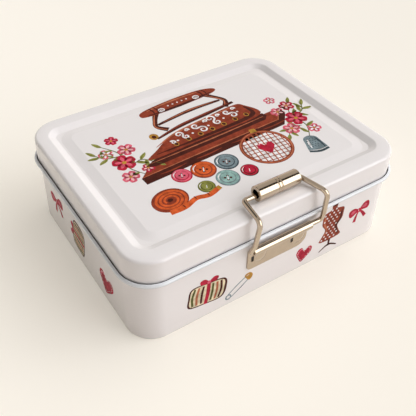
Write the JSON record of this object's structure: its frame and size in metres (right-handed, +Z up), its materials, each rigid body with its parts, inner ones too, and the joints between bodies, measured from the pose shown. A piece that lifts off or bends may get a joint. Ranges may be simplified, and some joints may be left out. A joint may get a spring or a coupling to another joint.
{
  "type": "hinged tin with wire clasp",
  "caption": "Rectangular hinged tin with a printed slip-over lid, rolled edges and a riveted wire clasp with a roller.",
  "frame": {"origin": "on the table, under the middle of the tin's footprint", "axes": "+X along the long front, to the right when the clasp faces you; +Y to the back where the hinges are; +Z up"},
  "size_m": [0.1944, 0.1607, 0.0731],
  "materials": {
    "lacquer": null,
    "tinplate": "bright bare tinplate",
    "nickel": "warm nickel plating, bright"
  },
  "bodies": {
    "tin": {"body_wall": "lacquer", "bottom_plate": "tinplate", "clasp_plate": "nickel", "clasp_rivets": "nickel", "hinge_left_body_leaf": "nickel", "hinge_left_pin": "nickel", "hinge_right_body_leaf": "nickel", "hinge_right_pin": "nickel", "hinge_body_rivets": "nickel"},
    "lid": {"lid": "lacquer", "hinge_left_lid_leaf": "nickel", "hinge_right_lid_leaf": "nickel", "hinge_lid_rivets": "nickel"},
    "bail": {"clasp_bail": "nickel"},
    "roller": {"clasp_roller": "nickel"}
  },
  "joints": [
    {"name": "lid_hinge", "type": "hinge", "parent": "tin", "child": "lid", "pos_m": [0, 0.078, 0.0495], "axis": [-1, 0, 0], "range_deg": [0, 105]},
    {"name": "clasp_hinge", "type": "hinge", "parent": "tin", "child": "bail", "pos_m": [0, -0.075, 0.0398], "axis": [1, 0, 0], "range_deg": [0, 160]},
    {"name": "roller_spin", "type": "hinge", "parent": "bail", "child": "roller", "pos_m": [0.0032, -0.0615, 0.06843], "axis": [1, 0, 0], "continuous": true}
  ]
}
